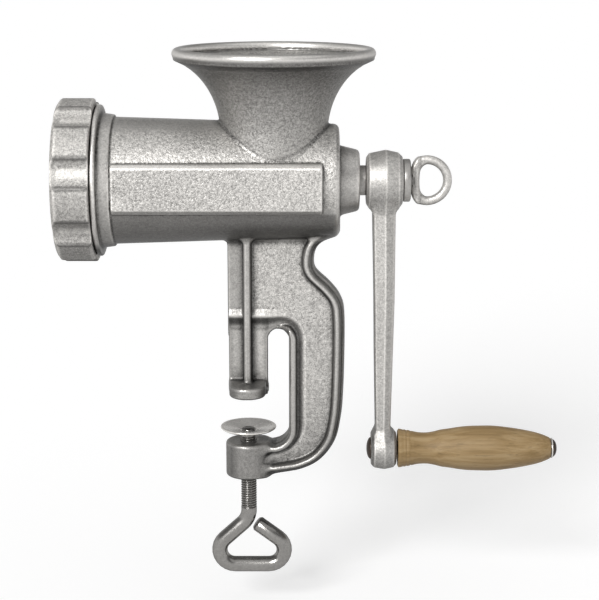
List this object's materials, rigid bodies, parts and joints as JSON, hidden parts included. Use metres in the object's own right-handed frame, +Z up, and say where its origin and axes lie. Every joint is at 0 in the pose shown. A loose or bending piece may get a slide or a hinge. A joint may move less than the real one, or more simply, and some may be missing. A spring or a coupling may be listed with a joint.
{
  "type": "hand crank meat grinder",
  "caption": "Clamp-on manual meat grinder: cast body with hopper, feed screw, knife and plate behind a ring nut, turned by a cranked arm with a wooden grip.",
  "frame": {"origin": "centre of the jaw foot's underside, which bears on the top of the table", "axes": "+X from the mouth towards the crank, +Z up, the clamp screw along Z, +Y to the back"},
  "size_m": [0.2509, 0.099, 0.2697],
  "materials": {
    "cast_tin": "tinned, sandblasted panels",
    "pin_steel": "ground steel",
    "ring_tin": "tinned, tumbled bright",
    "plate_steel": "ground steel",
    "knife_steel": "ground steel",
    "stud_steel": "turned steel",
    "screw_tin": "tinned",
    "fibre": "vulcanised fibre",
    "crank_tin": "tinned",
    "washer_steel": "tinned steel",
    "eye_tin": "tinned, tumbled bright",
    "dark_steel": "browned steel",
    "beech": "turned beech, oiled",
    "grip_washer_steel": "tinned steel",
    "clamp_steel": "tinned steel",
    "pad_steel": "pressed and tinned steel"
  },
  "bodies": {
    "casting": {"grinder_body": "cast_tin", "plate_key": "pin_steel"},
    "drive": {"feed_screw": "screw_tin", "knife_stud": "stud_steel", "cross_knife": "knife_steel", "thrust_washer": "fibre"},
    "plate": {"grinding_plate": "plate_steel"},
    "ring": {"ring_nut": "ring_tin"},
    "crank": {"crank_arm": "crank_tin", "crank_washer": "washer_steel", "grip_spindle": "dark_steel", "grip_washer": "grip_washer_steel"},
    "eye": {"eye_screw": "eye_tin"},
    "grip": {"wooden_grip": "beech"},
    "pad": {"clamp_pad": "pad_steel"},
    "screw": {"clamp_screw": "clamp_steel"}
  },
  "joints": [
    {"name": "crank_turn", "type": "hinge", "parent": "casting", "child": "drive", "pos_m": [0, 0, 0.107], "axis": [1, 0, 0], "continuous": true},
    {"name": "crank_off", "type": "slide", "parent": "drive", "child": "crank", "axis": [1, 0, 0], "range_m": [0, 0.015]},
    {"name": "eye_screw_turn", "type": "hinge", "parent": "crank", "child": "eye", "pos_m": [0.08, 0, 0.107], "axis": [1, 0, 0], "range_deg": [0, 4321]},
    {"name": "grip_turn", "type": "hinge", "parent": "crank", "child": "grip", "pos_m": [0.1, 0, -0.0311], "axis": [1, 0, 0], "continuous": true},
    {"name": "plate_out", "type": "slide", "parent": "casting", "child": "plate", "axis": [-1, 0, 0], "range_m": [0, 0.01351]},
    {"name": "ring_nut_turn", "type": "hinge", "parent": "plate", "child": "ring", "pos_m": [-0.09, 0, 0.107], "axis": [-1, 0, 0], "range_deg": [0, 1620]},
    {"name": "pad_rise", "type": "slide", "parent": "casting", "child": "pad", "axis": [0, 0, 1], "range_m": [-0.00251, 0.01801]},
    {"name": "clamp_screw_turn", "type": "hinge", "parent": "pad", "child": "screw", "pos_m": [0, 0, -0.03], "axis": [0, 0, 1], "range_deg": [-720, 5184]}
  ],
  "couplings": [
    {"joint": "eye_screw_turn", "follows": "crank_off", "rad_per_m": 5026.5},
    {"joint": "plate_out", "follows": "ring_nut_turn", "m_per_rad": 0.00047746},
    {"joint": "pad_rise", "follows": "clamp_screw_turn", "m_per_rad": 0.00019894}
  ]
}
